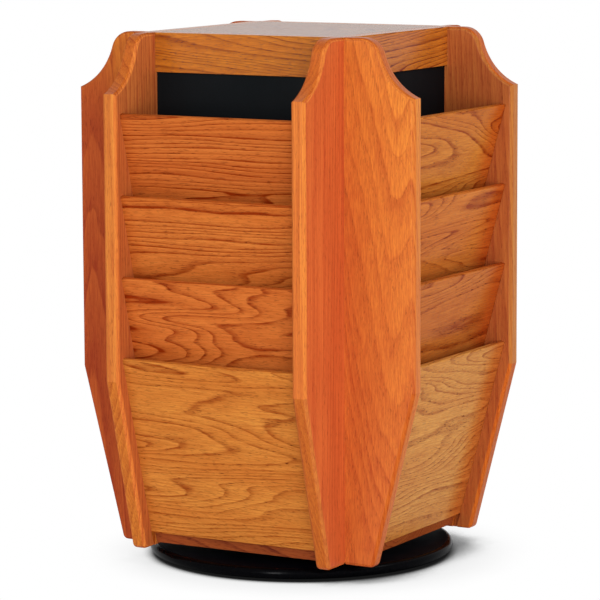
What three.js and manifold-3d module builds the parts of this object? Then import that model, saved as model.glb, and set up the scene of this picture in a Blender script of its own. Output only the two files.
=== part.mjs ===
// Revolving periodical display rack: four faces of sloping pockets round a square core, on a ball
// bearing above a round base. Millimetres, +Z up, floor at z = 0, turning axis on the Z axis.
import * as THREE from 'three';
import { mergeVertices } from 'three/addons/utils/BufferGeometryUtils.js';
import loadManifold from 'manifold-3d';

const wasm = await loadManifold();
wasm.setup();

// Faces and pockets
const faceNames = ['front', 'right', 'back', 'left'];
const pocketsPerFace = 4;
const pocketWidth = 235;
const fitGap = 0.3;

// Side boards: a flat top, an ogee down to a sharp shoulder, a plumb front and a tapered foot
const boardThickness = 19;
const boardHeight = 620;
const boardDepth = 92;
const toeDepth = 37;
const taperHeight = 211;
const shoulderDrop = 68;
const crestRadius = 25;
const crestFlat = 22;
const sweepRadius = 77;
const toeRadius = 5;
const boardEase = 3;
const easeSteps = 2;
const curveSteps = 4;

// Sloping pocket panels, housed at each end in a slanted groove of the side board
const panelThickness = 6.35;
const panelLength = 227;
const panelLeanDegrees = 15.4;
const panelSetback = 9.2;
const topPanelDrop = 92.4;
const lowPanelRise = 18.4;
const panelEase = 1.5;
const grooveDepth = 6;

// Pocket floors behind the lower ends of the upper panels
const floorThickness = 12;
const floorRise = 2;

// Top rails, top and bottom boards, corner posts and back panels of the core
const railThickness = 19;
const railHeight = 47;
const railProud = 4;
const railEase = 1.5;
const topBoardThickness = 19;
const bottomBoardThickness = 19;
const bottomBoardReach = 12;
const boardDrop = 4;
const backThickness = 3;
const rabbetWidth = 12;

// Round base on rubber feet
const discRadius = 186.5;
const discThickness = 13;
const discSteps = 72;
const rimSteps = 4;
const footRadius = 11;
const footHeight = 3;
const footTaper = 1.5;
const footSteps = 20;
const footCircleRadius = 155;
const footCount = 4;

// Ball bearing: two square pressed plates that hook together, and a ring of caged balls
const bearingHeight = 9;
const plateSide = 152;
const plateCornerRadius = 12;
const sheetThickness = 1;
const raceRadius = 60;
const ballRadius = 2.5;
const ballCount = 14;
const raceHalfWidth = 4;
const raceSlope = 2.5;
const raceGap = 0.9;
const cageThickness = 1;
const cageHalfWidth = 4.5;
const screwHoleRadius = 2.5;
const screwHoleInset = 11;
const lowerHookRadius = 44;
const lowerHookReach = 4.5;
const upperHookRadius = 50;
const upperHookReach = 3.8;
const hookGap = 1;
const bearingSteps = 32;
const arcSteps = 3;
const ballSteps = 8;
const ballRows = 5;

// Finishes
const sideOak = { color: 0xb9632c, roughness: 0.4, metalness: 0 };
const panelOak = { color: 0xc3813f, roughness: 0.42, metalness: 0 };
const coreOak = { color: 0xb66f35, roughness: 0.42, metalness: 0 };
const blackBoard = { color: 0x17171a, roughness: 0.6, metalness: 0 };
const blackLaminate = { color: 0x121214, roughness: 0.3, metalness: 0 };
const zincSteel = { color: 0xb9bcc0, roughness: 0.35, metalness: 1 };
const blackRubber = { color: 0x1d1d1d, roughness: 0.85, metalness: 0 };

// Heights and places that follow from the sizes above
const lean = THREE.MathUtils.degToRad(panelLeanDegrees);
const innerHalf = pocketWidth / 2;
const coreHalf = innerHalf + boardThickness;
const discTop = footHeight + discThickness;
const coreFloor = discTop + bearingHeight;
const pocketFloor = coreFloor + bottomBoardThickness;
const boardFoot = coreFloor - boardDrop;
const boardTop = boardFoot + boardHeight;
const railFoot = boardTop - railHeight;
const panelOutset = boardDepth - panelSetback;
const highestPanelTop = boardTop - topPanelDrop;
const lowestPanelTop = boardFoot + lowPanelRise + panelLength * Math.cos(lean);
const panelPitch = (highestPanelTop - lowestPanelTop) / Math.max(pocketsPerFace - 1, 1);
const panelTops = Array.from({ length: pocketsPerFace }, (_, k) => highestPanelTop - k * panelPitch);

function toSolid(geometry) {
  const bare = geometry.clone();
  bare.deleteAttribute('normal');
  bare.deleteAttribute('uv');
  const merged = mergeVertices(bare);
  const vertProperties = Float32Array.from(merged.attributes.position.array);
  const triVerts = Uint32Array.from(merged.index.array);
  return new wasm.Manifold(new wasm.Mesh({ numProp: 3, vertProperties, triVerts }));
}

function toGeometry(solid) {
  const mesh = solid.getMesh();
  const geometry = new THREE.BufferGeometry();
  geometry.setAttribute('position', new THREE.BufferAttribute(Float32Array.from(mesh.vertProperties), 3));
  geometry.setIndex(new THREE.BufferAttribute(Uint32Array.from(mesh.triVerts), 1));
  geometry.computeVertexNormals();
  return geometry;
}

function piece(name, geometry, finish) {
  const mesh = new THREE.Mesh(geometry, new THREE.MeshStandardMaterial(finish));
  mesh.name = name;
  return mesh;
}

// A box between two corners.
function boxBetween(low, high) {
  const box = new THREE.BoxGeometry(high[0] - low[0], high[1] - low[1], high[2] - low[2]);
  box.translate((low[0] + high[0]) / 2, (low[1] + high[1]) / 2, (low[2] + high[2]) / 2);
  return box;
}

// A flat board with the given outline, standing on z = 0.
function flatBoard(shape, thickness) {
  const options = { depth: thickness, bevelEnabled: false, curveSegments: curveSteps };
  return new THREE.ExtrudeGeometry(shape, options);
}

// A section made as long as the given width and centred on z = 0.
function acrossFace(shape, width) {
  const geometry = flatBoard(shape, width);
  geometry.translate(0, 0, -width / 2);
  return geometry;
}

// A ring or disc turned about the Z axis from a profile of radius and height.
function turned(points, steps) {
  const geometry = new THREE.LatheGeometry(points, steps);
  geometry.rotateX(Math.PI / 2);
  return geometry;
}

function arcPoints(centreX, centreY, radius, fromAngle, toAngle, steps) {
  const points = [];
  for (let k = 0; k <= steps; k += 1) {
    const angle = fromAngle + ((toAngle - fromAngle) * k) / steps;
    points.push(new THREE.Vector2(centreX + radius * Math.cos(angle), centreY + radius * Math.sin(angle)));
  }
  return points;
}

function closedLoop(points) {
  return [...points, points[0].clone()];
}

// Centre of the concave sweep that leaves the crest tangentially and ends at the shoulder.
function sweepCentre(crest, shoulder) {
  const reach = crest.distanceTo(shoulder);
  const span = crestRadius + sweepRadius;
  const along = (span ** 2 - sweepRadius ** 2 + reach ** 2) / (2 * reach);
  const aside = Math.sqrt(span ** 2 - along ** 2);
  const line = shoulder.clone().sub(crest).normalize();
  const square = new THREE.Vector2(-line.y, line.x);
  return crest.clone().addScaledVector(line, along).addScaledVector(square, aside);
}

// Outline of a side board, x outward from the core face and y up; its back edge is left long, to be sawn.
function sideBoardShape(backAllowance) {
  const crest = new THREE.Vector2(crestFlat, boardTop - crestRadius);
  const shoulder = new THREE.Vector2(boardDepth, boardTop - shoulderDrop);
  const sweep = sweepCentre(crest, shoulder);
  const joinAngle = sweep.clone().sub(crest).angle();
  const shoulderAngle = shoulder.clone().sub(sweep).angle();
  const toe = new THREE.Vector2(toeDepth, boardFoot);
  const taperTop = new THREE.Vector2(boardDepth, boardFoot + taperHeight);
  const toeEnd = toe.clone().addScaledVector(taperTop.clone().sub(toe).normalize(), toeRadius);
  const shape = new THREE.Shape();
  shape.moveTo(-backAllowance, boardFoot);
  shape.lineTo(toe.x - toeRadius, toe.y);
  shape.quadraticCurveTo(toe.x, toe.y, toeEnd.x, toeEnd.y);
  shape.lineTo(taperTop.x, taperTop.y);
  shape.lineTo(shoulder.x, shoulder.y);
  shape.absarc(sweep.x, sweep.y, sweepRadius, shoulderAngle, joinAngle + Math.PI, true);
  shape.absarc(crest.x, crest.y, crestRadius, joinAngle, Math.PI / 2, false);
  shape.lineTo(-backAllowance, boardTop);
  shape.closePath();
  return shape;
}

// Cutter for one slanted groove, made at a panel's top front edge, then leaned and moved into place.
function grooveCutter(panelTop, faceZ) {
  const run = (panelOutset + panelThickness) / Math.sin(lean);
  const low = [-panelThickness - fitGap, -run, faceZ - grooveDepth];
  const high = [fitGap, fitGap, faceZ + grooveDepth];
  const cutter = boxBetween(low, high);
  cutter.rotateZ(-lean);
  cutter.translate(panelOutset, panelTop, 0);
  return cutter;
}

// A side board lies from z = 0 to its thickness; innerZ is the face that carries the grooves.
function sideBoard(innerZ) {
  const backAllowance = 2 * boardEase;
  const blank = new THREE.ExtrudeGeometry(sideBoardShape(backAllowance), {
    depth: boardThickness - 2 * boardEase,
    bevelThickness: boardEase,
    bevelSize: boardEase,
    bevelOffset: -boardEase,
    bevelSegments: easeSteps,
    curveSegments: curveSteps,
  });
  blank.translate(0, 0, boardEase);
  const waste = boxBetween(
    [-2 * backAllowance, boardFoot - boardEase, -boardEase],
    [fitGap, boardTop + boardEase, boardThickness + boardEase],
  );
  let solid = toSolid(blank).subtract(toSolid(waste));
  for (const panelTop of panelTops) {
    solid = solid.subtract(toSolid(grooveCutter(panelTop, innerZ)));
  }
  return toGeometry(solid);
}

// Section of a pocket panel, x along its front normal and y up its slope, from its top front edge.
function panelShape() {
  const shape = new THREE.Shape();
  shape.moveTo(-panelThickness, -panelLength);
  shape.lineTo(0, -panelLength);
  shape.lineTo(0, -panelEase);
  shape.absarc(-panelEase, -panelEase, panelEase, 0, Math.PI / 2, false);
  shape.lineTo(-panelThickness + panelEase, 0);
  shape.absarc(-panelThickness + panelEase, -panelEase, panelEase, Math.PI / 2, Math.PI, false);
  shape.closePath();
  return shape;
}

// Section of a pocket floor; its front edge is planed to the slope of the panel.
function floorShape(panelTop) {
  const foot = panelTop - panelLength * Math.cos(lean) + floorRise;
  const head = foot + floorThickness;
  const backFaceAt = (height) =>
    panelOutset + (height - panelTop) * Math.tan(lean) - (panelThickness + fitGap) / Math.cos(lean);
  const shape = new THREE.Shape();
  shape.moveTo(fitGap, foot);
  shape.lineTo(backFaceAt(foot), foot);
  shape.lineTo(backFaceAt(head), head);
  shape.lineTo(fitGap, head);
  shape.closePath();
  return shape;
}

// Section of a top rail, a little proud of the core face, with its top front arris eased.
function railShape() {
  const shape = new THREE.Shape();
  shape.moveTo(railProud - railThickness, railFoot);
  shape.lineTo(railProud, railFoot);
  shape.lineTo(railProud, boardTop - railEase);
  shape.absarc(railProud - railEase, boardTop - railEase, railEase, 0, Math.PI / 2, false);
  shape.lineTo(railProud - railThickness, boardTop);
  shape.closePath();
  return shape;
}

function backPanel() {
  const half = innerHalf + rabbetWidth - fitGap;
  return boxBetween([-backThickness, pocketFloor + fitGap, -half], [0, railFoot - fitGap, half]);
}

// Square corner post, rabbeted on its two outer faces for the ends of the back panels.
function cornerPost() {
  const rabbetDepth = backThickness + fitGap;
  const beyond = boardThickness;
  const blank = boxBetween([-boardThickness, coreFloor, -coreHalf], [0, boardTop, -innerHalf - fitGap]);
  const ownRabbet = boxBetween(
    [-rabbetDepth, coreFloor - beyond, -innerHalf - rabbetWidth],
    [beyond, railFoot, -innerHalf + beyond],
  );
  const nextRabbet = boxBetween(
    [-boardThickness - beyond, coreFloor - beyond, -coreHalf - beyond],
    [-boardThickness + rabbetWidth, railFoot, -coreHalf + rabbetDepth],
  );
  return toGeometry(toSolid(blank).subtract(toSolid(ownRabbet)).subtract(toSolid(nextRabbet)));
}

// Plan of the top and bottom boards: a square with its corners notched round the posts.
function notchedSquare(reach) {
  const arm = innerHalf - fitGap;
  const quarter = [[reach, -arm], [reach, arm], [arm, arm]];
  const origin = new THREE.Vector2();
  const points = [];
  for (let k = 0; k < 4; k += 1) {
    for (const [x, y] of quarter) {
      points.push(new THREE.Vector2(x, y).rotateAround(origin, (k * Math.PI) / 2));
    }
  }
  return new THREE.Shape(points);
}

// Base disc with a half-round rim, from its underside up.
function baseDisc() {
  const rim = discThickness / 2;
  const edge = arcPoints(discRadius - rim, rim, rim, -Math.PI / 2, Math.PI / 2, 2 * rimSteps);
  return turned([new THREE.Vector2(0, 0), ...edge, new THREE.Vector2(0, discThickness)], discSteps);
}

function rubberFoot() {
  const profile = [
    new THREE.Vector2(0, 0),
    new THREE.Vector2(footRadius - footTaper, 0),
    new THREE.Vector2(footRadius, footHeight),
    new THREE.Vector2(0, footHeight),
  ];
  return turned(profile, footSteps);
}

// Raised ring of a bearing plate with the ball groove along its crest.
function raceRing() {
  const middle = bearingHeight / 2;
  const crown = middle - raceGap;
  const grooveRadius = ballRadius + fitGap;
  const lip = Math.asin(raceGap / grooveRadius);
  const groove = arcPoints(raceRadius, middle, grooveRadius, -lip, lip - Math.PI, 2 * arcSteps);
  const outer = raceRadius + raceHalfWidth;
  const inner = raceRadius - raceHalfWidth;
  const profile = [
    new THREE.Vector2(outer + raceSlope, 0),
    new THREE.Vector2(outer + raceSlope, sheetThickness),
    new THREE.Vector2(outer, crown),
    ...groove,
    new THREE.Vector2(inner, crown),
    new THREE.Vector2(inner - raceSlope, sheetThickness),
    new THREE.Vector2(inner - raceSlope, 0),
  ];
  return turned(closedLoop(profile), bearingSteps);
}

// Turned collar of a plate; its lip points out on the lower plate and in on the upper one.
function hookRing(wallInner, wallOuter, lipEdge, lipFoot) {
  const lipHead = lipFoot + sheetThickness;
  const lipOut = [[wallOuter, lipFoot], [lipEdge, lipFoot], [lipEdge, lipHead], [wallInner, lipHead]];
  const lipIn = [[wallOuter, lipHead], [lipEdge, lipHead], [lipEdge, lipFoot], [wallInner, lipFoot]];
  const corners = [[wallInner, 0], [wallOuter, 0], ...(lipEdge > wallOuter ? lipOut : lipIn)];
  const profile = corners.map(([radius, height]) => new THREE.Vector2(radius, height));
  return turned(closedLoop(profile), bearingSteps);
}

function roundedSquare(side, radius) {
  const half = side / 2;
  const straight = half - radius;
  const shape = new THREE.Shape();
  shape.moveTo(half, -straight);
  shape.absarc(straight, straight, radius, 0, Math.PI / 2, false);
  shape.absarc(-straight, straight, radius, Math.PI / 2, Math.PI, false);
  shape.absarc(-straight, -straight, radius, Math.PI, 1.5 * Math.PI, false);
  shape.absarc(straight, -straight, radius, 1.5 * Math.PI, 2 * Math.PI, false);
  shape.closePath();
  return shape;
}

function roundHole(x, y, radius, steps) {
  return new THREE.Path(arcPoints(x, y, radius, 0, 2 * Math.PI, steps).slice(0, -1));
}

// Pressed bearing plate lying on z = 0 with its race up: sheet, race ring and hooking collar in one.
function bearingPlate(collar, collarMiddle) {
  const sheet = roundedSquare(plateSide, plateCornerRadius);
  const screwPlace = plateSide / 2 - screwHoleInset;
  sheet.holes.push(roundHole(0, 0, collarMiddle, bearingSteps));
  for (const [signX, signY] of [[1, 1], [-1, 1], [-1, -1], [1, -1]]) {
    sheet.holes.push(roundHole(signX * screwPlace, signY * screwPlace, screwHoleRadius, ballSteps));
  }
  const solid = toSolid(flatBoard(sheet, sheetThickness)).add(toSolid(raceRing())).add(toSolid(collar));
  return toGeometry(solid);
}

// Caged balls, centred on z = 0.
function ballCage() {
  const half = cageThickness / 2;
  const profile = [
    new THREE.Vector2(raceRadius - cageHalfWidth, -half),
    new THREE.Vector2(raceRadius + cageHalfWidth, -half),
    new THREE.Vector2(raceRadius + cageHalfWidth, half),
    new THREE.Vector2(raceRadius - cageHalfWidth, half),
  ];
  let solid = toSolid(turned(closedLoop(profile), bearingSteps));
  for (let k = 0; k < ballCount; k += 1) {
    const angle = (2 * Math.PI * k) / ballCount;
    const ball = new THREE.SphereGeometry(ballRadius, ballSteps, ballRows);
    ball.translate(raceRadius * Math.cos(angle), raceRadius * Math.sin(angle), 0);
    solid = solid.add(toSolid(ball));
  }
  return toGeometry(solid);
}

// One face of the rack, in a frame with x outward from the core, y up and z across to its left.
function rackFace(name, nextName) {
  const face = new THREE.Group();
  const basis = new THREE.Matrix4().makeBasis(
    new THREE.Vector3(0, -1, 0),
    new THREE.Vector3(0, 0, 1),
    new THREE.Vector3(-1, 0, 0),
  );
  face.quaternion.setFromRotationMatrix(basis);
  face.position.set(0, -coreHalf, 0);

  const leftBoard = piece(`${name}_left_side_board`, sideBoard(0), sideOak);
  leftBoard.position.z = innerHalf;
  const rightBoard = piece(`${name}_right_side_board`, sideBoard(boardThickness), sideOak);
  rightBoard.position.z = -coreHalf;
  face.add(leftBoard, rightBoard);

  const panelWidth = pocketWidth + 2 * (grooveDepth - fitGap);
  const floorWidth = pocketWidth - 2 * fitGap;
  panelTops.forEach((panelTop, k) => {
    const panel = piece(`${name}_pocket_panel_${k + 1}`, acrossFace(panelShape(), panelWidth), panelOak);
    panel.position.set(panelOutset, panelTop, 0);
    panel.rotation.z = -lean;
    face.add(panel);
    if (k < pocketsPerFace - 1) {
      const floor = acrossFace(floorShape(panelTop), floorWidth);
      face.add(piece(`${name}_pocket_floor_${k + 1}`, floor, coreOak));
    }
  });

  face.add(piece(`${name}_top_rail`, acrossFace(railShape(), floorWidth), coreOak));
  face.add(piece(`${name}_back_panel`, backPanel(), blackBoard));
  face.add(piece(`corner_post_${name}_${nextName}`, cornerPost(), coreOak));
  return face;
}

// The part that turns: four faces on the core, and the upper plate of the bearing.
function revolvingRack() {
  const rack = new THREE.Group();
  faceNames.forEach((name, k) => {
    const side = new THREE.Group();
    side.rotation.z = (k * 2 * Math.PI) / faceNames.length;
    side.add(rackFace(name, faceNames[(k + 1) % faceNames.length]));
    rack.add(side);
  });

  const topPlan = notchedSquare(coreHalf + railProud - railThickness - fitGap);
  const topBoard = piece('top_board', flatBoard(topPlan, topBoardThickness), coreOak);
  topBoard.position.z = boardTop - topBoardThickness;
  const bottomPlan = notchedSquare(coreHalf + bottomBoardReach);
  const bottomBoard = piece('bottom_board', flatBoard(bottomPlan, bottomBoardThickness), coreOak);
  bottomBoard.position.z = coreFloor;

  const lipFoot = upperLipFoot();
  const wallOuter = upperHookRadius + sheetThickness;
  const collar = hookRing(upperHookRadius, wallOuter, upperHookRadius - upperHookReach, lipFoot);
  const upperPlate = piece(
    'bearing_upper_plate',
    bearingPlate(collar, upperHookRadius + sheetThickness / 2),
    zincSteel,
  );
  upperPlate.rotation.x = Math.PI;
  upperPlate.position.z = coreFloor;
  rack.add(topBoard, bottomBoard, upperPlate);
  return rack;
}

// Height of the lower plate's lip above its own sheet, and of the upper plate's lip below its own.
function lowerLipFoot() {
  return bearingHeight - 2 * sheetThickness - hookGap / 2;
}

function upperLipFoot() {
  return bearingHeight - lowerLipFoot() + hookGap;
}

// The part that stands still: disc, feet and the lower plate of the bearing.
function standingBase() {
  const base = new THREE.Group();
  const disc = piece('base_disc', baseDisc(), blackLaminate);
  disc.position.z = footHeight;
  base.add(disc);
  for (let k = 0; k < footCount; k += 1) {
    const angle = Math.PI / 4 + (2 * Math.PI * k) / footCount;
    const foot = piece(`rubber_foot_${k + 1}`, rubberFoot(), blackRubber);
    foot.position.set(footCircleRadius * Math.cos(angle), footCircleRadius * Math.sin(angle), 0);
    base.add(foot);
  }

  const wallOuter = lowerHookRadius + sheetThickness;
  const collar = hookRing(lowerHookRadius, wallOuter, lowerHookRadius + lowerHookReach, lowerLipFoot());
  const lowerPlate = piece(
    'bearing_lower_plate',
    bearingPlate(collar, lowerHookRadius + sheetThickness / 2),
    zincSteel,
  );
  lowerPlate.rotation.z = Math.PI / 4;
  lowerPlate.position.z = discTop;
  base.add(lowerPlate);
  return base;
}

const ballRing = piece('bearing_ball_ring', ballCage(), zincSteel);
ballRing.position.z = discTop + bearingHeight / 2;

const displayRack = new THREE.Group();
displayRack.add(standingBase(), ballRing, revolvingRack());

export default displayRack;
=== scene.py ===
import math
import random

import bmesh
import bpy
from mathutils import Matrix, Vector


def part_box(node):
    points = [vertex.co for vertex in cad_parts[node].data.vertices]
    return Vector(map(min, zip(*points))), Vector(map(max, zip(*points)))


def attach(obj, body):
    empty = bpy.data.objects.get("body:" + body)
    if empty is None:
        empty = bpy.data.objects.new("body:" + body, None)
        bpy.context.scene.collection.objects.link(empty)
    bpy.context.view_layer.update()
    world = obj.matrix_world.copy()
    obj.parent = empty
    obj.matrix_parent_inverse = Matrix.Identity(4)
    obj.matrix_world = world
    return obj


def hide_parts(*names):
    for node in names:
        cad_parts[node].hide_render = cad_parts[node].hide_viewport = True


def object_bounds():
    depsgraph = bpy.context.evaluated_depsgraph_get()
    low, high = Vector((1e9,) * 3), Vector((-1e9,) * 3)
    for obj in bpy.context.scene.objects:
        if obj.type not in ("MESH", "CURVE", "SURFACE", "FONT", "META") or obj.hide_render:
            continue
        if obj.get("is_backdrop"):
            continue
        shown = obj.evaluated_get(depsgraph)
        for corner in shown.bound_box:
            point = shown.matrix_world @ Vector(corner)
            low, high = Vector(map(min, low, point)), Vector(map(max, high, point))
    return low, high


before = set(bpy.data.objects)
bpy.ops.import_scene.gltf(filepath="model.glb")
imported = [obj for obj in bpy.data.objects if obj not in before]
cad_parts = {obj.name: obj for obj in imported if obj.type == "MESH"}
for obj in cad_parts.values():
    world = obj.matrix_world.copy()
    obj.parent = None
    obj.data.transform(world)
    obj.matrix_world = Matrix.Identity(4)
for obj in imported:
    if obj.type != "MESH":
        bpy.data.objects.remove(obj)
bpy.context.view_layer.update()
mm = 0.001
hair = 1e-6  # m, points closer than this count as one
slack = 0.01  # mm, less than lies between any two edges
asDrawn = Matrix.Identity(4)  # for pieces that are modelled where they stay
faceNames = ["front", "right", "back", "left"]
draw = random.Random(23)  # seeded, so every run cuts the same boards
print("frame loaded:", len(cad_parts), "nodes")


# helpers

def linear(hexColour):  # sRGB hex to linear rgba
    channels = [int(hexColour[i:i + 2], 16) / 255 for i in (0, 2, 4)]
    return [c / 12.92 if c <= 0.04045 else ((c + 0.055) / 1.055) ** 2.4 for c in channels] + [1.0]


def addNode(tree, kind, settings, wires):  # a wire is a node, an output or a plain value
    node = tree.nodes.new("ShaderNode" + kind)
    for key, value in settings.items():
        setattr(node, key, value)
    for key, value in wires.items():
        if isinstance(value, bpy.types.Node):
            value = value.outputs[0]
        if isinstance(value, bpy.types.NodeSocket):
            tree.links.new(value, node.inputs[key])
        else:
            node.inputs[key].default_value = value
    return node


def newFinish(name):
    finish = bpy.data.materials.new(name)
    finish.use_nodes = True
    tree = finish.node_tree
    return finish, tree, tree.nodes["Principled BSDF"]


def boxMatrix(low, high):  # turns a unit cube into the box between two corners
    low, high = Vector(low), Vector(high)
    return Matrix.Translation((low + high) / 2) @ Matrix.Diagonal((high - low).to_4d())


def edgesWhere(bm, test):
    return [e for e in bm.edges if all(test(v.co) for v in e.verts)]


def bevelled(bm, edges, offset, segments):
    bmesh.ops.bevel(bm, geom=edges, offset=offset, offset_type="OFFSET", segments=segments,
                    profile=0.5, affect="EDGES", material=-1)


def level(edge, axis):  # an edge that keeps to one x, y or z
    return abs(edge.verts[0].co[axis] - edge.verts[1].co[axis]) < hair


def vertsOf(geometry):
    return [g for g in geometry if isinstance(g, bmesh.types.BMVert)]


def drawnOn(bm, last, points):  # takes an outline on through more points
    for point in points:
        last = bmesh.ops.extrude_vert_indiv(bm, verts=[last])["verts"][0]
        last.co = point
    return last


def spun(bm, vert, centre, axis, angle, steps):  # takes an outline round an arc
    arc = bmesh.ops.spin(bm, geom=[vert], cent=centre, axis=axis, angle=angle, steps=steps, use_duplicate=False)
    return vertsOf(arc["geom_last"])[0]


def lathed(bm, steps):  # turns an outline round the upright axis
    bmesh.ops.spin(bm, geom=bm.verts[:] + bm.edges[:], cent=(0, 0, 0), axis=(0, 0, 1), angle=2 * math.pi,
                   steps=steps, use_merge=True, use_duplicate=False)
    bmesh.ops.remove_doubles(bm, verts=bm.verts[:], dist=hair)
    bmesh.ops.recalc_face_normals(bm, faces=bm.faces[:])


def thickened(bm, vec):  # a flat face becomes a board
    grown = bmesh.ops.extrude_face_region(bm, geom=bm.faces[:])["geom"]
    bmesh.ops.translate(bm, verts=vertsOf(grown), vec=vec)
    bmesh.ops.recalc_face_normals(bm, faces=bm.faces[:])


def toMesh(bm, name):
    mesh = bpy.data.meshes.new(name)
    bm.to_mesh(mesh)
    bm.free()
    return mesh


# cosines that tell the faces of a board apart, against its broad side and against the run of its grain
tilt = {"broad": 0.7, "arrisLow": 0.26, "arrisHigh": 0.97, "edge": 0.2, "taper": 0.5, "shadedTaperArris": 0.05}
untinted = "ffffff"


def isArris(flat):
    return tilt["arrisLow"] < flat < tilt["arrisHigh"]


def stainZone(flat, end, cut):  # broad sides, edges, rubbed arrises and end grain take the stain differently; the paler arris stain is partly rubbed wood and partly a painted highlight, and the darker downward tapers and their arrises hold painted shade
    if isArris(flat) and abs(end) < tilt["taper"]:
        return "shadedTaperArris" if end < -tilt["shadedTaperArris"] and "shadedTaperArris" in cut else "arrisStainAndHighlight"
    if flat > tilt["broad"]:
        return "stain"
    if abs(end) < tilt["edge"]:
        return "edgeStain"
    return "taperStainAndShade" if -tilt["taper"] < end < 0 else "endStain"


def cutFromLog(mesh, cut):
    # every vertex remembers where it lay in the log, in mm: x along the grain, y and z from the pith
    spots = [v.co for v in mesh.vertices]
    low, high = (Vector(map(pick, *spots)) for pick in (min, max))
    middle = (low + high) / 2
    rows = [Vector(cut[key]) * 1000 for key in ("along", "across", "through")]  # m to mm
    pith, slope = cut["pith"], cut["slope"]
    where = []
    for v in mesh.vertices:
        run, rise, depth = (row.dot(v.co - middle) for row in rows)
        where += [run + cut["start"], rise - pith[0] + slope[0] * run, depth - pith[1] + slope[1] * run]
    mesh.attributes.new("grain", "FLOAT_VECTOR", "POINT").data.foreach_set("vector", where)
    stains, worn = [], []
    for face in mesh.polygons:
        flat, end = abs(face.normal.dot(Vector(cut["through"]))), face.normal.dot(Vector(cut["along"]))
        stains += linear(cut.get(stainZone(flat, end, cut), cut["stain"]))[:3]
        worn.append(float(isArris(flat)))
    count = len(mesh.polygons)
    turnFrom, turnTo = cut.get("turns", (0, 1))  # mm from the pith where the wood starts and ends its turn
    paintedBounceFrom, paintedBounceTo = (cut["start"] + run for run in cut.get("paintedBounceSpan", (0, 1)))  # mm along, where the painted reddish bounce light and shade from the next board fades in
    tints = {"stain": stains,
             "heartTint": linear(cut.get("heart", untinted))[:3] * count,
             "paintedBounceTint": linear(cut.get("paintedBounce", untinted))[:3] * count}
    levels = {"paintedBounceFrom": [paintedBounceFrom] * count, "paintedBounceTo": [paintedBounceTo] * count,
              "turnFrom": [turnFrom] * count, "turnTo": [turnTo] * count,
              "figure": [cut.get("figure", 1.0)] * count,  # how bold the rings are
              "worn": worn}  # rubbed arrises have lost some of their gloss
    for name, values in tints.items():
        mesh.attributes.new(name, "FLOAT_VECTOR", "FACE").data.foreach_set("vector", values)
    for name, values in levels.items():
        mesh.attributes.new(name, "FLOAT", "FACE").data.foreach_set("value", values)


sharpAngle = math.radians(35)  # keener edges stay crisp


def setUp(name, mesh, place, finishes, body, nodes=(), cut=None):
    mesh = mesh.copy()
    mesh.name = name
    if cut:
        cutFromLog(mesh, cut)
    mesh.transform(place)
    for finish in finishes:
        mesh.materials.append(finish)
    mesh.shade_smooth()
    mesh.set_sharp_from_angle(angle=sharpAngle)
    piece = bpy.data.objects.new(name, mesh)
    bpy.context.scene.collection.objects.link(piece)
    even = piece.modifiers.new("evenShading", "WEIGHTED_NORMAL")
    even.keep_sharp = True
    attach(piece, body)
    if nodes:
        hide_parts(*nodes)
    return piece


# finishes

mixShare, mixFirst, mixSecond, mixColour = 0, 6, 7, 2  # the sockets of a Mix node that blend colours
# noise levels between which each mark of the wood comes and goes
oakMarks = {"patch": (0.34, 0.62), "pore": (0.55, 0.70), "cloud": (0.3, 0.7), "streak": (0.35, 0.7)}
oakYear = {"haloEnd": 0.8, "nextSpring": 0.93, "luckSpan": 4.0, "fewestPores": 0.35}  # parts of a year, and years
oakSkin = {"poreRough": 0.22, "wornRough": 0.68, "ringDip": 0.35, "relief": 0.3, "depth": 0.08}  # depth in mm


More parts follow.
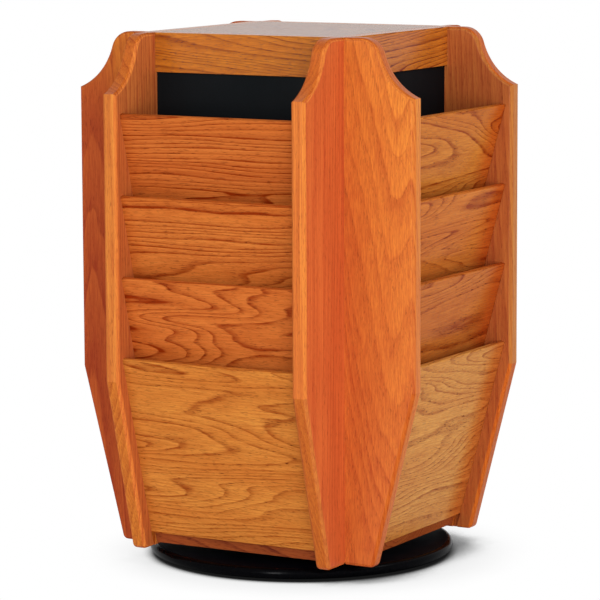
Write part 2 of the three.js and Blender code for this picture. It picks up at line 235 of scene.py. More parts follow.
def oakFinish(name, look):
    # stained oak: dark open-pored rings, short pore dashes and soft clouds under a clear lacquer
    finish, tree, shader = newFinish(name)
    grain, stain, heartTint, paintedBounceTint = (
        addNode(tree, "Attribute", {"attribute_name": key}, {}).outputs["Vector"]
        for key in ("grain", "stain", "heartTint", "paintedBounceTint"))
    turnFrom, turnTo, paintedBounceFrom, paintedBounceTo, figure, worn = (
        addNode(tree, "Attribute", {"attribute_name": key}, {}).outputs["Fac"]
        for key in ("turnFrom", "turnTo", "paintedBounceFrom", "paintedBounceTo", "figure", "worn"))
    noise = {}
    for key, (along, across, detail) in look["noise"].items():  # mm along and across the grain
        spread = addNode(tree, "Mapping", {}, {"Vector": grain, "Scale": (1 / along, 1 / across, 1 / across)})
        noise[key] = addNode(tree, "TexNoise", {}, {"Vector": spread, "Scale": 1.0, "Detail": detail})
    bent = grain
    for key in ("bend", "wander"):  # the tree never grew straight
        centred = addNode(tree, "VectorMath", {"operation": "SUBTRACT"},
                          {0: noise[key].outputs["Color"], 1: (0.5, 0.5, 0.5)})
        bent = addNode(tree, "VectorMath", {"operation": "MULTIPLY_ADD"},
                       {0: centred, 1: look["swing"][key], 2: bent})
    square = addNode(tree, "VectorMath", {"operation": "MULTIPLY"}, {0: bent, 1: (0.0, 1.0, 1.0)})
    fromPith = addNode(tree, "VectorMath", {"operation": "LENGTH"}, {0: square}).outputs["Value"]
    years = addNode(tree, "Math", {"operation": "DIVIDE"}, {0: fromPith, 1: look["ringWidth"]})
    luck = addNode(tree, "Math", {"operation": "DIVIDE"}, {0: years, 1: oakYear["luckSpan"]})
    luck = addNode(tree, "TexNoise", {"noise_dimensions": "1D"}, {"W": luck, "Scale": 1.0, "Detail": 0.0})
    years = addNode(tree, "Math", {"operation": "MULTIPLY_ADD"},  # wet and dry years
                    {0: luck, 1: look["uneven"], 2: years})
    year = addNode(tree, "Math", {"operation": "FLOOR"}, {0: years})
    season = addNode(tree, "Math", {"operation": "FRACT"}, {0: years})
    chance = addNode(tree, "TexWhiteNoise", {"noise_dimensions": "1D"}, {"W": year}).outputs["Value"]
    porous = addNode(tree, "MapRange", {"interpolation_type": "SMOOTHSTEP"},  # a year starts dark and full of pores
                     {"Value": season, "From Min": 0.0, "From Max": look["springPart"], "To Min": 1.0, "To Max": 0.0})
    for start, end, low, high in ((0.0, oakYear["haloEnd"], look["halo"], 0.0),
                                  (oakYear["nextSpring"], 1.0, 0.0, 1.0)):
        edge = addNode(tree, "MapRange", {}, {"Value": season, "From Min": start, "From Max": end,
                                              "To Min": low, "To Max": high})
        porous = addNode(tree, "Math", {"operation": "MAXIMUM"}, {0: porous, 1: edge})
    bold = addNode(tree, "MapRange", {}, {"Value": chance, "To Min": look["faintest"], "To Max": 1.0})
    broken = addNode(tree, "MapRange", {},
                     {"Value": noise["patch"], "From Min": oakMarks["patch"][0], "From Max": oakMarks["patch"][1],
                      "To Min": look["brokenTo"], "To Max": 1.0})
    ringLine = porous
    for share in (bold, broken, figure):
        ringLine = addNode(tree, "Math", {"operation": "MULTIPLY"}, {0: ringLine, 1: share})
    pore = addNode(tree, "MapRange", {"interpolation_type": "SMOOTHSTEP"},
                   {"Value": noise["pore"], "From Min": oakMarks["pore"][0], "From Max": oakMarks["pore"][1]})
    crowded = addNode(tree, "MapRange", {}, {"Value": porous, "To Min": oakYear["fewestPores"], "To Max": 1.0})
    pore = addNode(tree, "Math", {"operation": "MULTIPLY"}, {0: pore, 1: crowded})
    cloud = addNode(tree, "MapRange", {},
                    {"Value": noise["cloud"], "From Min": oakMarks["cloud"][0], "From Max": oakMarks["cloud"][1]})
    streak = addNode(tree, "MapRange", {},
                     {"Value": noise["streak"], "From Min": oakMarks["streak"][0], "From Max": oakMarks["streak"][1],
                      "To Max": look["streakPart"]})
    lineShare = addNode(tree, "Math", {"operation": "MULTIPLY"}, {0: ringLine, 1: look["linePart"]})
    poreShare = addNode(tree, "Math", {"operation": "MULTIPLY"}, {0: pore, 1: look["porePart"]})
    colour = linear(look["pale"])
    for share, shade in ((cloud, "body"), (streak, "deep"), (lineShare, "line"), (poreShare, "pore")):
        colour = addNode(tree, "Mix", {"data_type": "RGBA"},
                         {mixShare: share, mixFirst: colour, mixSecond: linear(look[shade])}).outputs[mixColour]
    turned = addNode(tree, "MapRange", {}, {"Value": fromPith, "From Min": turnFrom, "From Max": turnTo})
    alongLog = addNode(tree, "SeparateXYZ", {}, {"Vector": grain}).outputs["X"]
    # painted bounce light and shade, growing towards one end of the piece
    bounceShare = addNode(tree, "MapRange", {}, {"Value": alongLog, "From Min": paintedBounceFrom, "From Max": paintedBounceTo})
    for share, tint in ((turned, heartTint), (bounceShare, paintedBounceTint), (1.0, stain)):
        colour = addNode(tree, "Mix", {"data_type": "RGBA", "blend_type": "MULTIPLY"},
                         {mixShare: share, mixFirst: colour, mixSecond: tint}).outputs[mixColour]
    rough = addNode(tree, "MapRange", {},
                    {"Value": pore, "To Min": look["gloss"], "To Max": look["gloss"] + oakSkin["poreRough"]})
    rough = addNode(tree, "Math", {"operation": "MULTIPLY_ADD"}, {0: worn, 1: oakSkin["wornRough"], 2: rough})
    dip = addNode(tree, "Math", {"operation": "MULTIPLY_ADD"}, {0: ringLine, 1: oakSkin["ringDip"], 2: pore})
    relief = addNode(tree, "Bump", {"invert": True},
                     {"Strength": oakSkin["relief"], "Distance": oakSkin["depth"] * mm, "Height": dip})
    tree.links.new(colour, shader.inputs["Base Color"])
    tree.links.new(rough.outputs[0], shader.inputs["Roughness"])
    tree.links.new(relief.outputs[0], shader.inputs["Normal"])
    shader.inputs["Specular IOR Level"].default_value = look["sheen"]
    return finish


oakNoise = {  # mm along and across the grain, then octaves; pores are drawn twice as coarse as real ones
    "bend": (380, 50, 1), "wander": (75, 11, 2), "patch": (40, 6, 1),
    "pore": (9, 0.9, 1), "streak": (140, 1.6, 3), "cloud": (500, 38, 1),
}
sideLook = {  # solid boards: orange, with wide soft rings
    "noise": oakNoise, "swing": {"bend": (0, 0, 16), "wander": (0, 2.4, 2.4)}, "ringWidth": 6.0, "uneven": 2.2,
    "springPart": 0.55, "halo": 0.85, "faintest": 0.4, "brokenTo": 0.6, "streakPart": 0.82, "linePart": 0.68,
    "porePart": 0.65, "gloss": 0.32, "sheen": 0.1,
    "pale": "f09944", "body": "e68a3e", "deep": "cf6c33", "line": "ba5328", "pore": "9a4420",
}
panelLook = {  # veneers: paler and yellower, with a bold dark figure
    "noise": oakNoise, "swing": {"bend": (0, 0, 62), "wander": (0, 2.4, 2.4)}, "ringWidth": 4.8, "uneven": 2.8,
    "springPart": 0.36, "halo": 0.42, "faintest": 0.5, "brokenTo": 0.5, "streakPart": 0.65, "linePart": 1.0,
    "porePart": 1.0, "gloss": 0.25, "sheen": 0.03,
    "pale": "df9f50", "body": "d58d43", "deep": "bb6d30", "line": "923c0f", "pore": "6a2a08",
}
# rails and inner boards: deeper brown, with narrow rings and more gloss
coreLook = dict(panelLook, ringWidth=3.6, swing={"bend": (0, 0, 30), "wander": (0, 2.4, 2.4)},
                gloss=0.24, sheen=0.2,
                pale="d88a2a", body="ce7925", deep="b05d1c", line="7c2c0e", pore="60200a")
sideOak = oakFinish("stainedSolidOak", sideLook)
panelOak = oakFinish("stainedOakVeneer", panelLook)
coreOak = oakFinish("stainedOakRail", coreLook)


# octaves of the two noises, levels between which they change, depth in mm, and the sheen where none is given
speck = {"fineOctaves": 3.0, "broadOctaves": 2.0, "fleck": (0.38, 0.66), "patch": (0.3, 0.7),
         "depth": 0.1, "sheen": 0.5}


def speckledFinish(name, look):
    # a flat finish with a fine pattern: painted board, laminate, plated steel or rubber
    finish, tree, shader = newFinish(name)
    place = addNode(tree, "TexCoord", {}, {}).outputs["Object"]
    fine, broad = (
        addNode(tree, "TexNoise", {},
                {"Vector": place, "Scale": 1 / (look[key] * mm), "Detail": speck[key + "Octaves"]})
        for key in ("fine", "broad"))
    fleck = addNode(tree, "MapRange", {},
                    {"Value": fine, "From Min": speck["fleck"][0], "From Max": speck["fleck"][1]})
    colour = addNode(tree, "Mix", {"data_type": "RGBA"},
                     {mixShare: fleck, mixFirst: linear(look["dark"]),
                      mixSecond: linear(look["light"])}).outputs[mixColour]
    rough = addNode(tree, "MapRange", {},
                    {"Value": broad, "From Min": speck["patch"][0], "From Max": speck["patch"][1],
                     "To Min": look["rough"][0], "To Max": look["rough"][1]})
    relief = addNode(tree, "Bump", {},
                     {"Strength": look["relief"], "Distance": speck["depth"] * mm, "Height": fine})
    tree.links.new(colour, shader.inputs["Base Color"])
    tree.links.new(rough.outputs[0], shader.inputs["Roughness"])
    tree.links.new(relief.outputs[0], shader.inputs["Normal"])
    shader.inputs["Metallic"].default_value = look.get("metal", 0.0)
    shader.inputs["Specular IOR Level"].default_value = look.get("sheen", speck["sheen"])
    return finish


# hardboard under one coat of black: felted, dull
blackBoard = speckledFinish("blackHardboard", {"fine": 1.2, "broad": 60, "dark": "030608", "light": "070c10",
                                               "rough": (0.6, 0.75), "relief": 0.25, "sheen": 0.09})
# phenolic laminate: even black with a soft pebble that blurs reflections
blackLaminate = speckledFinish("blackLaminate", {"fine": 0.9, "broad": 45, "dark": "030307", "light": "09090d",
                                                 "rough": (0.45, 0.55), "relief": 0.12, "sheen": 0.01})
# extruded vinyl edge: smoother than the laminate, catches a clean line of light
blackVinyl = speckledFinish("blackVinylEdge", {"fine": 4.0, "broad": 80, "dark": "020204", "light": "050507",
                                               "rough": (0.16, 0.24), "relief": 0.05, "sheen": 0.022})
# zinc plate on pressed steel: pale grey spangle
zincSteel = speckledFinish("zincPlatedSteel", {"fine": 2.5, "broad": 12, "dark": "9fa3a8", "light": "c4c7ca",
                                               "rough": (0.28, 0.42), "relief": 0.05, "metal": 1.0})
# moulded rubber: matt with a faint bloom
blackRubber = speckledFinish("mouldedRubber", {"fine": 0.8, "broad": 9, "dark": "161616", "light": "222221",
                                               "rough": (0.75, 0.9), "relief": 0.3})
print("finishes ready")


# layout shared by the wood pieces, mm
rack = {"coreHalf": 136.5, "pocketHalf": 117.5, "gap": 0.3}
panel = {"thickness": 6.35, "length": 227, "lean": 15.4, "out": 82.8, "highest": 548.6, "lowRise": 18.4,
         "count": 4, "housed": 5.7, "ease": 1.5, "easeSteps": 4, "grooveDepth": 6}
board = {"depth": 92, "foot": 21, "head": 641, "toe": 37, "taper": 211, "shoulderDrop": 68, "crestRadius": 25,
         "crestFlat": 22, "sweepRadius": 77, "toeRadius": 5, "ease": 4.8, "thickness": 19, "seat": 0.02,
         "sweepSteps": 20, "crestSteps": 16, "toeSteps": 5, "easeSteps": 6}
lean = math.radians(panel["lean"])
lowest = board["foot"] + panel["lowRise"] + panel["length"] * math.cos(lean)
panelTops = [panel["highest"] + (lowest - panel["highest"]) * k / (panel["count"] - 1)
             for k in range(panel["count"])]
# how a piece lay in its log: on edge with the grain level, flat, or upright
onEdge = {"along": (1, 0, 0), "across": (0, 0, 1), "through": (0, 1, 0)}
lying = {"along": (1, 0, 0), "across": (0, 1, 0), "through": (0, 0, 1)}
sideways = {"along": (0, 0, 1), "across": (0, -1, 0), "through": (1, 0, 0)}
upended = {"along": (0, 0, 1), "across": (1, 0, 0), "through": (0, 1, 0)}


def outward(u, z, x=0):  # a point of the front face: mm out from the core, up, and across
    return Vector((x, -(rack["coreHalf"] + u), z)) * mm


def faceTurn(k):
    return Matrix.Rotation(k * math.pi / 2, 4, "Z")


def panelPlace(top):  # a panel hangs from its top front edge
    return Matrix.Translation(outward(panel["out"], top)) @ Matrix.Rotation(lean, 4, "X")


def swept(bm, vert, centre, end, steps):  # an arc in the plane of a side board, as far as another point
    a, b = vert.co - centre, end - centre
    turn = math.atan2(a.y * b.z - a.z * b.y, a.y * b.y + a.z * b.z)
    return spun(bm, vert, centre, (1, 0, 0), turn, steps)


def sideBoardMesh(side):  # side -1 is the face's left board, +1 its right one
    inner = side * rack["pocketHalf"]
    crest = outward(board["crestFlat"], board["head"] - board["crestRadius"], inner)
    shoulder = outward(board["depth"], board["head"] - board["shoulderDrop"], inner)
    reach, span = (shoulder - crest).length, (board["crestRadius"] + board["sweepRadius"]) * mm
    along = (span ** 2 - (board["sweepRadius"] * mm) ** 2 + reach ** 2) / (2 * reach)
    line = (shoulder - crest).normalized()
    sweep = crest + line * along + Vector((0, line.z, -line.y)) * math.sqrt(span ** 2 - along ** 2)
    join = crest + (sweep - crest) * board["crestRadius"] / (board["crestRadius"] + board["sweepRadius"])
    bm = bmesh.new()
    first = bm.verts.new(shoulder)
    last = swept(bm, first, sweep, join, board["sweepSteps"])
    last = swept(bm, last, crest, crest + Vector((0, 0, board["crestRadius"] * mm)), board["crestSteps"])
    last = drawnOn(bm, last, [outward(board["seat"], board["head"], inner),
                              outward(board["seat"], board["foot"], inner),
                              outward(board["toe"], board["foot"], inner),
                              outward(board["depth"], board["foot"] + board["taper"], inner)])
    bm.edges.new((last, first))
    bmesh.ops.edgeloop_fill(bm, edges=bm.edges[:])
    thickened(bm, (side * board["thickness"] * mm, 0, 0))
    toe = outward(board["toe"], board["foot"])
    toeEdge = edgesWhere(bm, lambda p: abs(p.y - toe.y) + abs(p.z - toe.z) < hair)
    bevelled(bm, toeEdge, board["toeRadius"] * mm, board["toeSteps"])
    back = outward(board["seat"], 0).y
    arrises = [e for e in bm.edges if level(e, 0) and not all(abs(v.co.y - back) < hair for v in e.verts)]
    bevelled(bm, arrises, board["ease"] * mm, board["easeSteps"])
    return toMesh(bm, "sideBoard")


def grooveMesh(side):  # four slanted housings, open at the back
    inner = side * rack["pocketHalf"] * mm
    run = (panel["out"] + panel["thickness"]) / math.sin(lean)
    bm = bmesh.new()
    for top in panelTops:
        low = Vector((-panel["grooveDepth"], -rack["gap"], -run)) * mm
        high = Vector((panel["grooveDepth"], panel["thickness"] + rack["gap"], rack["gap"])) * mm
        place = Matrix.Translation((inner, 0, 0)) @ panelPlace(top)
        bmesh.ops.create_cube(bm, size=1, matrix=place @ boxMatrix(low, high))
    return toMesh(bm, "grooves")


def cutAway(mesh, cutter):  # what is left of a mesh after the cutter has gone through it
    things = [bpy.data.objects.new(m.name, m) for m in (mesh, cutter)]
    for thing in things:
        bpy.context.scene.collection.objects.link(thing)
    saw = things[0].modifiers.new("saw", "BOOLEAN")
    saw.operation, saw.solver, saw.object = "DIFFERENCE", "EXACT", things[1]
    graph = bpy.context.evaluated_depsgraph_get()
    left = bpy.data.meshes.new_from_object(things[0].evaluated_get(graph))
    for thing in things:
        bpy.data.objects.remove(thing)
    return left


# where each side board was sawn: pith across and behind in mm, slope of the grain, and how it took the stain, with a
# painted highlight in the paler arris stains and painted shade in the darker downward taper stains
boardCuts = {
    "front_right": {"pith": (70, 120), "slope": (0.010, 0.006), "stain": "eec4da", "arrisStainAndHighlight": "faf0ea",
                    "taperStainAndShade": "dcc6a6", "shadedTaperArris": "e2d6da"},
    "right_left": {"pith": (28, 110), "slope": (0.0, 0.1), "stain": "fcf4da", "figure": 0.95,
                   "edgeStain": "fbf9dc", "taperStainAndShade": "f2e8ac", "arrisStainAndHighlight": "f2e6dc", "shadedTaperArris": "eedaa8",
                   "heart": "f0daf6", "turns": (95, 140)},
    "front_left": {"pith": (-96, 60), "slope": (0.012, 0.03), "stain": "decfe2", "edgeStain": "fbfff2",
                   "taperStainAndShade": "e7deb9", "endStain": "e2c8a8", "figure": 1.5},
    "left_right": {"pith": (30, 62), "slope": (0.0, -0.06), "stain": "f6eac6", "figure": 1.5,
                   "heart": "dfb8dd", "turns": (73, 66)},
    "right_right": {"pith": (70, 62), "slope": (0.02, 0.04), "stain": "d0c0d4", "edgeStain": "e0e9e4",
                    "taperStainAndShade": "dcc09c", "arrisStainAndHighlight": "d7dde8", "shadedTaperArris": "e6c8a0"},
}
boardUsual = dict(sideways, edgeStain="f6e2dc", arrisStainAndHighlight="f8eeea", taperStainAndShade="ddc4b6", endStain="e8ccb0")
# the rest are drawn by lot: ranges of the same, and steps along the log in mm
boardDraw = {"across": (-110, 110), "behind": (40, 90), "lean": 0.02, "slope": (-0.06, 0.06),
             "stains": ["e7b5c4", "efd6c9", "e2bcbc", "dcb4b4"], "faceStep": 700, "sideStep": 3100}
for side, word in ((-1, "left"), (1, "right")):
    sawn = cutAway(sideBoardMesh(side), grooveMesh(side))
    for k, face in enumerate(faceNames):
        cut = boardCuts.get(f"{face}_{word}") or {
            "pith": (draw.uniform(*boardDraw["across"]), draw.uniform(*boardDraw["behind"])),
            "slope": (boardDraw["lean"], draw.uniform(*boardDraw["slope"])),
            "stain": draw.choice(boardDraw["stains"])}
        cut = dict(boardUsual, **cut, start=boardDraw["faceStep"] * k + boardDraw["sideStep"] * (side + 1))
        setUp(f"{face}_{word}_shaped_board", sawn, faceTurn(k), [sideOak], "rack",
              [f"{face}_{word}_side_board"], cut)
print("side boards cut")


def panelMesh():
    half = rack["pocketHalf"] + panel["housed"]
    bm = bmesh.new()
    low, high = Vector((-half, 0, -panel["length"])) * mm, Vector((half, panel["thickness"], 0)) * mm
    bmesh.ops.create_cube(bm, size=1, matrix=boxMatrix(low, high))
    topEdges = [e for e in edgesWhere(bm, lambda p: p.z > -hair) if level(e, 1)]
    bevelled(bm, topEdges, panel["ease"] * mm, panel["easeSteps"])
    return toMesh(bm, "panel")


# the same for the veneers in sight, with the place along the log
panelCuts = {
    "front_1": {"pith": (-40, 100), "slope": (-0.015, -0.003), "start": 11101},
    "front_2": {"pith": (-68, 159), "slope": (-0.018, 0.067), "start": 4108},
    "front_3": {"pith": (55, 174), "slope": (-0.011, -0.053), "start": 8770},
    "front_4": {"pith": (37, 149), "slope": (0.024, -0.058), "start": 4885},
    # the upper right veneers' darker stains hold painted shade as well as their own tone
    "right_1": {"pith": (62, 237), "slope": (0.032, -0.062), "start": 2554, "figure": 1.1, "stain": "fae0be"},
    "right_2": {"pith": (60, 290), "slope": (-0.012, -0.023), "start": 14986, "figure": 1.0, "stain": "f6d0b4"},
    "right_3": {"pith": (-45, 292), "slope": (-0.024, 0.041), "start": 14209, "figure": 1.0, "stain": "eec8b0"},
    "right_4": {"pith": (29, 130), "slope": (0.038, -0.076), "start": 11878, "figure": 0.85, "stain": "fcfeff"},
}
panelPaintedBounce = {"right": {"paintedBounce": "f0c6b6", "paintedBounceSpan": (70, 103)}}  # painted reddish bounce light and shade from the board beside the right-hand end
panelDraw = {"across": (-60, 60), "behind": (160, 300), "lean": (-0.04, 0.04), "slope": (-0.06, 0.06),
             "start": 19000, "panelStep": 600, "faceStep": 2600}
# the upper panels' darker, redder stains hold painted shade and painted reddish bounce light
shadedUpperPanel = {"figure": 1.5, "stains": ("fccebe", "fad0bc", "f8caba")}
lowestPanel = {"figure": 1.0, "stain": "fde9d0"}
sheet = panelMesh()
for k, face in enumerate(faceNames):
    for n, top in enumerate(panelTops, 1):
        cut = panelCuts.get(f"{face}_{n}") or {
            "pith": (draw.uniform(*panelDraw["across"]), draw.uniform(*panelDraw["behind"])),
            "slope": (draw.uniform(*panelDraw["lean"]), draw.uniform(*panelDraw["slope"]))}
        usual = dict(onEdge, start=panelDraw["start"] + panelDraw["panelStep"] * n + panelDraw["faceStep"] * k)
        if n == panel["count"]:
            usual.update(lowestPanel)
        else:
            usual.update(figure=shadedUpperPanel["figure"], stain=draw.choice(shadedUpperPanel["stains"]))
        cut = dict(usual, **cut, **panelPaintedBounce.get(face, {}))
        setUp(f"{face}_sloping_panel_{n}", sheet, faceTurn(k) @ panelPlace(top), [panelOak], "rack",
              [f"{face}_pocket_panel_{n}"], cut)
print("panels hung")


rail = {"thickness": 19, "height": 47, "proud": 4, "ease": 1.5, "easeSteps": 3, "arris": 0.5, "arrisSteps": 2}


def railMesh():
    half = rack["pocketHalf"] - rack["gap"]
    low = outward(rail["proud"], board["head"] - rail["height"], -half)
    high = outward(rail["proud"] - rail["thickness"], board["head"], half)
    bm = bmesh.new()
    bmesh.ops.create_cube(bm, size=1, matrix=boxMatrix(low, high))
    topFront = edgesWhere(bm, lambda p: p.z > high.z - hair and p.y < low.y + hair)
    bevelled(bm, topFront, rail["ease"] * mm, rail["easeSteps"])
    bottomFront = edgesWhere(bm, lambda p: p.z < low.z + hair and p.y < low.y + hair)
    bevelled(bm, bottomFront, rail["arris"] * mm, rail["arrisSteps"])
    return toMesh(bm, "rail")


floorBoard = {"thickness": 12, "rise": 2, "blank": 1}


def floorMesh(top):  # its front edge is planed to the slope of the panel
    foot = top - panel["length"] * math.cos(lean) + floorBoard["rise"]
    head = foot + floorBoard["thickness"]
    half = rack["pocketHalf"] - rack["gap"]
    low, high = outward(rack["gap"], foot, -half), outward(floorBoard["blank"], head, half)
    bm = bmesh.new()
    bmesh.ops.create_cube(bm, size=1, matrix=boxMatrix(low, high))
    for v in bm.verts:
        if v.co.y < (low.y + high.y) / 2:
            slant = (v.co.z / mm - top) * math.tan(lean) - (panel["thickness"] + rack["gap"]) / math.cos(lean)
            v.co.y = outward(panel["out"] + slant, 0).y
    bmesh.ops.recalc_face_normals(bm, faces=bm.faces[:])
    return toMesh(bm, "floorBoard")


cross = {"topReach": 121.2, "topThickness": 19, "topArris": 0.4,
         "bottomReach": 148.1, "bottomLow": 25, "bottomHigh": 44, "bottomArris": 0.8, "arrisSteps": 2}


def crossMesh(reach, low, high, arris, flare=0):  # a square board notched round the corner posts
    arm = rack["pocketHalf"] - rack["gap"]
    turns = [faceTurn(k).to_3x3() for k in range(len(faceNames))]
    corners = ((reach, -arm), (reach, arm), (arm, arm))
    bm = bmesh.new()
    bm.faces.new([bm.verts.new(t @ Vector((x, y, low)) * mm) for t in turns for x, y in corners])
    thickened(bm, (0, 0, (high - low) * mm))
    rim = [v for v in bm.verts if v.co.z > (high - slack) * mm]
    for out in [t @ Vector((1, 0, 0)) for t in turns]:  # the upper edges lean out with the panels
        for v in rim:
            if v.co.dot(out) > (reach - slack) * mm:
                v.co += out * flare * mm
    bevelled(bm, [e for e in bm.edges if level(e, 2)], arris * mm, cross["arrisSteps"])
    return toMesh(bm, "crossBoard")


railCuts = {"front": {"pith": (58, 42), "slope": (0.0, 0.09), "stain": "fffaf8", "figure": 1.1},
            "right": {"pith": (-46, 46), "slope": (0.0, 0.07), "stain": "fff2fa", "figure": 1.5}}
railDraw = {"sides": (-1, 1), "across": (70, 120), "behind": 40, "lean": 0.01, "slope": (-0.02, 0.02),
            "stains": ("ffffff", "f6e6e2"), "start": 30000, "faceStep": 900}
floorDraw = {"across": (-40, 40), "behind": 50, "slope": (0.02, 0.03), "stain": "f0e4dc",
             "start": 40000, "floorStep": 500, "faceStep": 1700}
railBlank = railMesh()
for k, face in enumerate(faceNames):
    cut = dict(onEdge, start=railDraw["start"] + railDraw["faceStep"] * k,
               pith=(draw.choice(railDraw["sides"]) * draw.uniform(*railDraw["across"]), railDraw["behind"]),
               slope=(railDraw["lean"], draw.uniform(*railDraw["slope"])), stain=draw.choice(railDraw["stains"]))
    cut.update(railCuts.get(face, {}))
    setUp(f"{face}_cross_rail", railBlank, faceTurn(k), [coreOak], "rack", [f"{face}_top_rail"], cut)
    for n, top in enumerate(panelTops[:-1], 1):  # the bottom board is the floor of the lowest pocket
        cut = dict(lying, start=floorDraw["start"] + floorDraw["floorStep"] * n + floorDraw["faceStep"] * k,
                   pith=(draw.uniform(*floorDraw["across"]), floorDraw["behind"]), slope=floorDraw["slope"],
                   stain=floorDraw["stain"])
        setUp(f"{face}_floor_board_{n}", floorMesh(top), faceTurn(k), [coreOak], "rack",
              [f"{face}_pocket_floor_{n}"], cut)
# the lid's grey, darkened stain is painted shade: the top made darker than the oak around it
lidCut = dict(lying, start=50000, pith=(20, 60), slope=(0.02, 0.09), stain="cacac6", figure=2.0)
lid = crossMesh(cross["topReach"], board["head"] - cross["topThickness"], board["head"], cross["topArris"])
setUp("lid_board", lid, asDrawn, [coreOak], "rack", ["top_board"], lidCut)
# the foot board's darker stain is partly its own tone and partly painted shade under the lowest panel
bottomCut = dict(lidCut, start=53000, pith=(-30, 50), stain="d4b1f0", figure=1.0)
flare = (cross["bottomHigh"] - cross["bottomLow"]) * math.tan(lean)  # closes the lowest pocket against its panel
bottom = crossMesh(cross["bottomReach"], cross["bottomLow"], cross["bottomHigh"], cross["bottomArris"], flare)
setUp("foot_board", bottom, asDrawn, [coreOak], "rack", ["bottom_board"], bottomCut)
print("core boards set")


def oneNode(node):  # a plain post of the CAD, as a mesh of its own
    bm = bmesh.new()
    bm.from_mesh(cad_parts[node].data)
    bmesh.ops.remove_doubles(bm, verts=bm.verts[:], dist=hair)
    return toMesh(bm, node)


postDraw = {"pith": (20, 60), "slope": (0.01, 0.01), "stain": "f0dcd4", "start": 60000, "faceStep": 800}
for k, face in enumerate(faceNames):
    pair = f"{face}_{faceNames[(k + 1) % len(faceNames)]}"
    cut = dict(upended, start=postDraw["start"] + postDraw["faceStep"] * k,
               pith=(draw.uniform(*postDraw["pith"]), draw.uniform(*postDraw["pith"])), slope=postDraw["slope"],
               stain=postDraw["stain"])
    setUp(f"{pair}_post", oneNode(f"corner_post_{pair}"), asDrawn, [coreOak], "rack",
          [f"corner_post_{pair}"], cut)
dressed = {f"{face}_back_panel": blackBoard for face in faceNames}  # these keep their CAD meshes
dressed.update({f"bearing_{part}": zincSteel for part in ("upper_plate", "lower_plate", "ball_ring")})
for node, finish in dressed.items():
    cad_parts[node].data.materials.clear()
    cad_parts[node].data.materials.append(finish)


def profile(points):  # radius and height in mm
    return [Vector((r, 0, z)) * mm for r, z in points]


disc = {"radius": 186.5, "low": 3, "high": 16, "steps": 144, "rimSteps": 14, "seam": 0.35}


def discMesh():  # laminate faces with a half-round vinyl edge, joined at a fine seam
    low, high, seam = disc["low"], disc["high"], disc["seam"]
    rim = (high - low) / 2
    shoulder = disc["radius"] - rim
    bm = bmesh.new()
    last = bm.verts.new((0, 0, low * mm))
    last = drawnOn(bm, last, profile(((shoulder - 2 * seam, low), (shoulder - seam, low + seam), (shoulder, low))))
    last = spun(bm, last, (shoulder * mm, 0, (low + rim) * mm), (0, 1, 0), -math.pi, disc["rimSteps"])
    drawnOn(bm, last, profile(((shoulder - seam, high - seam), (shoulder - 2 * seam, high), (0, high))))
    lathed(bm, disc["steps"])
    for f in bm.faces:
        onEdging = f.calc_center_median().xy.length > (shoulder - 0.5 * seam) * mm
        f.material_index = 1 if onEdging else 0
    return toMesh(bm, "disc")


setUp("round_base", discMesh(), asDrawn, [blackLaminate, blackVinyl], "base", ["base_disc"])
foot = {"count": 4, "radius": 11, "height": 3, "taper": 1.5, "round": 0.8, "roundSteps": 3, "steps": 48,
        "hole": 3.4, "holeDepth": 1.6}


def footMesh():  # a moulded foot with a rounded sole and a screw well
    bm = bmesh.new()
    last = bm.verts.new((0, 0, foot["holeDepth"] * mm))
    drawnOn(bm, last, profile(((foot["hole"], foot["holeDepth"]), (foot["hole"], 0),
                               (foot["radius"] - foot["taper"], 0), (foot["radius"], foot["height"]),
                               (0, foot["height"]))))
    lathed(bm, foot["steps"])
    sole = [e for e in edgesWhere(bm, lambda p: p.z < hair)
            if min(v.co.xy.length for v in e.verts) > 2 * foot["hole"] * mm]
    bevelled(bm, sole, foot["round"] * mm, foot["roundSteps"])
    return toMesh(bm, "foot")


moulded = footMesh()
for k in range(1, foot["count"] + 1):
    low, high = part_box(f"rubber_foot_{k}")
    middle = (low + high) / 2
    setUp(f"base_foot_{k}", moulded, Matrix.Translation((middle.x, middle.y, low.z)), [blackRubber], "base",
          [f"rubber_foot_{k}"])

screw = {"radius": 3.6, "sides": 24, "head": 1.9, "round": 1.2, "roundSteps": 4,
         "slotWidth": 1.1, "slotReach": 2.0, "slotDepth": 0.8, "slotOver": 1}


def screwMesh():  # pan head, its seat at z = 0; the crossed recess is cut into it afterwards
    bm = bmesh.new()
    radius, head = screw["radius"] * mm, screw["head"] * mm
    bmesh.ops.create_cone(bm, cap_ends=True, segments=screw["sides"], radius1=radius, radius2=radius, depth=head,
                          matrix=Matrix.Translation((0, 0, head / 2)))
    topEdge = edgesWhere(bm, lambda p: p.z > (screw["head"] - slack) * mm)
    bevelled(bm, topEdge, screw["round"] * mm, screw["roundSteps"])
    return toMesh(bm, "screw")


def slotMesh(turn):
    low = Vector((-screw["slotReach"], -screw["slotWidth"] / 2, screw["head"] - screw["slotDepth"])) * mm
    high = Vector((screw["slotReach"], screw["slotWidth"] / 2, screw["head"] + screw["slotOver"])) * mm
    bm = bmesh.new()
    bmesh.ops.create_cube(bm, size=1, matrix=turn @ boxMatrix(low, high))
    return toMesh(bm, "slot")


driven = screwMesh()
for k in range(2):  # one slot across the other
    driven = cutAway(driven, slotMesh(faceTurn(k)))
plate = {"hole": 65, "lowSeat": 17, "highSeat": 24}
for k in range(len(faceNames)):
    turn = faceTurn(k)
    low = turn @ Matrix.Translation((plate["hole"] * math.sqrt(2) * mm, 0, plate["lowSeat"] * mm))
    setUp(f"lower_plate_screw_{k + 1}", driven, low, [zincSteel], "base")
    high = turn @ Matrix.Translation((plate["hole"] * mm, plate["hole"] * mm, plate["highSeat"] * mm))
    high = high @ Matrix.Rotation(math.pi, 4, "X")  # these hang head down
    setUp(f"upper_plate_screw_{k + 1}", driven, high, [zincSteel], "rack")
print("base and bearing dressed")


# studio: white sweep, broad low lamps right and behind, a fill from the left, and small lamps for the highlights

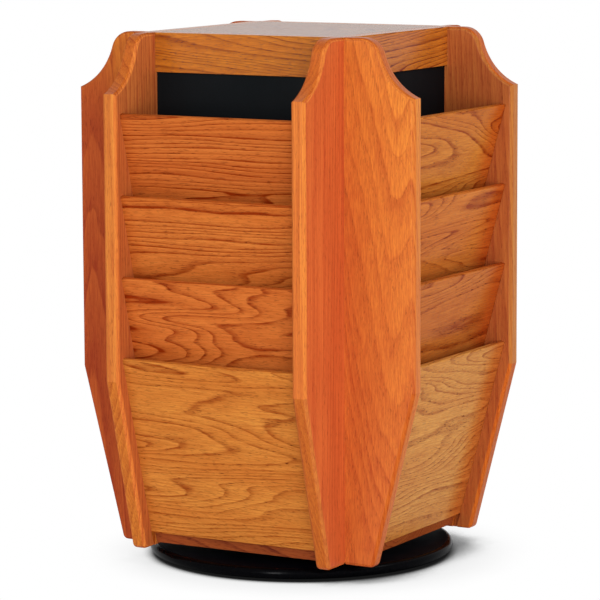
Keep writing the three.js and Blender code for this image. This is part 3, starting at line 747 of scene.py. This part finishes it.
studio = {"floorHalf": 1.6, "ambient": 0.32, "paper": 0.9, "paperRough": 0.9, "shadowRays": 16,
          "aim": (0, 0, 0.33)}
shadows = {  # m of reach, side of its light, shares of open sky where it is full and gone, and how white it stays
    "rim": {"reach": 0.02, "from": (0, 0, 1), "closed": 0.25, "open": 0.85, "deep": 0.05},
    "contact": {"reach": 0.11, "from": (-0.45, -0.25, 0.86), "closed": 0.31, "open": 0.51, "deep": 0.25},
    "soft": {"reach": 0.18, "from": (-0.1, 0.0, 0.99), "closed": 0.3, "open": 0.76, "deep": 0.76},
}
lamps = {  # m
    "key": {"at": (3.35, -3.0, 0.85), "size": (4.4, 2.4), "watts": 152},
    "fill": {"at": (-1.7, -3.6, 1.7), "size": (2.0, 2.0), "watts": 36},
    "back": {"at": (-3.0, 3.35, 0.85), "size": (4.4, 2.4), "watts": 120},
    "glint": {"at": (2.0, 0.7, 2.3), "size": (0.4, 0.4), "watts": 8, "mirrored": True},
    "spark": {"at": (0.5, -2.6, 2.0), "size": (0.4, 0.4), "watts": 6, "mirrored": True},
    "strip": {"at": (0.45, -2.6, 0.7), "size": (0.4, 1.2), "watts": 44, "mirrored": True, "lights": False},
}
sweepMesh = bmesh.new()
bmesh.ops.create_grid(sweepMesh, x_segments=1, y_segments=1, size=studio["floorHalf"])
ground = bpy.data.objects.new("studio_floor", toMesh(sweepMesh, "studio_floor"))
bpy.context.scene.collection.objects.link(ground)
ground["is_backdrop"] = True
paper, tree, shader = newFinish("whitePaperSweep")  # white paper that keeps a soft shadow close to the object
shader.inputs["Base Color"].default_value = [studio["paper"]] * 3 + [1.0]
shader.inputs["Roughness"].default_value = studio["paperRough"]
shader.inputs["Specular IOR Level"].default_value = 0.0
shade = 1.0
for spec in shadows.values():
    side = addNode(tree, "CombineXYZ", {}, dict(zip("XYZ", spec["from"])))  # where that shadow's light stands
    sky = addNode(tree, "AmbientOcclusion", {"samples": studio["shadowRays"]},
                  {"Distance": spec["reach"], "Normal": side}).outputs["AO"]
    sky = addNode(tree, "MapRange", {}, {"Value": sky, "From Min": spec["closed"], "From Max": spec["open"],
                                         "To Min": spec["deep"], "To Max": 1.0})
    shade = addNode(tree, "Math", {"operation": "MULTIPLY"}, {0: sky, 1: shade})
white = addNode(tree, "Emission", {}, {"Color": shade, "Strength": 1.0})


def backdropRays(tree):  # 1 for rays that show the white background, 0 for those that light the object
    path = addNode(tree, "LightPath", {}, {})
    seen = path.outputs["Is Camera Ray"]
    for ray in ("Is Glossy Ray", "Is Transmission Ray"):
        seen = addNode(tree, "Math", {"operation": "MAXIMUM"}, {0: seen, 1: path.outputs[ray]}).outputs[0]
    return seen


mixed = addNode(tree, "MixShader", {}, {0: backdropRays(tree), 1: shader, 2: white})
tree.links.new(mixed.outputs[0], tree.nodes["Material Output"].inputs["Surface"])
ground.data.materials.append(paper)

scene = bpy.context.scene
world = bpy.data.worlds.new("whiteStudio")
scene.world = world
world.use_nodes = True
tree = world.node_tree
bright = addNode(tree, "MapRange", {}, {"Value": backdropRays(tree), "To Min": studio["ambient"], "To Max": 1.0})
around = addNode(tree, "Background", {}, {"Color": (1, 1, 1, 1), "Strength": bright})
tree.links.new(around.outputs[0], tree.nodes["World Output"].inputs["Surface"])

for name, spec in lamps.items():
    lamp = bpy.data.lights.new(name, "AREA")
    lamp.shape, lamp.energy = "RECTANGLE", spec["watts"]
    lamp.size, lamp.size_y = spec["size"]
    holder = bpy.data.objects.new(name, lamp)
    scene.collection.objects.link(holder)
    holder.location = spec["at"]
    holder.visible_glossy = spec.get("mirrored", False)  # the lacquer mirrors the white room and the small lamps
    holder.visible_diffuse = spec.get("lights", True)  # the strip is only there to be mirrored
    holder.rotation_euler = (Vector(studio["aim"]) - Vector(spec["at"])).to_track_quat("-Z", "Y").to_euler()

# camera at the photo's angle: turn, dip and roll in degrees, lens and sensor in mm, place and reach in m
shot = {"turn": 29.695, "dip": 7.876, "roll": -0.249, "lens": 196.3, "sensor": 36.0,
        "at": (1.95979, -3.43782, 0.85788), "reach": 100.0}
turn, dip, roll = (math.radians(shot[key]) for key in ("turn", "dip", "roll"))
look = Vector((-math.sin(turn) * math.cos(dip), math.cos(turn) * math.cos(dip), -math.sin(dip)))
right = Vector((math.cos(turn), math.sin(turn), 0))
up = right.cross(look)
tiltedRight = right * math.cos(roll) + up * math.sin(roll)
tiltedUp = up * math.cos(roll) - right * math.sin(roll)
eye = bpy.data.cameras.new("camera")
eye.lens, eye.sensor_width, eye.clip_end = shot["lens"], shot["sensor"], shot["reach"]
camera = bpy.data.objects.new("camera", eye)
scene.collection.objects.link(camera)
facing = Matrix((tiltedRight, tiltedUp, -look)).transposed()
camera.matrix_world = Matrix.Translation(shot["at"]) @ facing.to_4x4()
scene.camera = camera
scene.view_settings.view_transform = "Standard"
print("studio ready")

low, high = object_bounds()
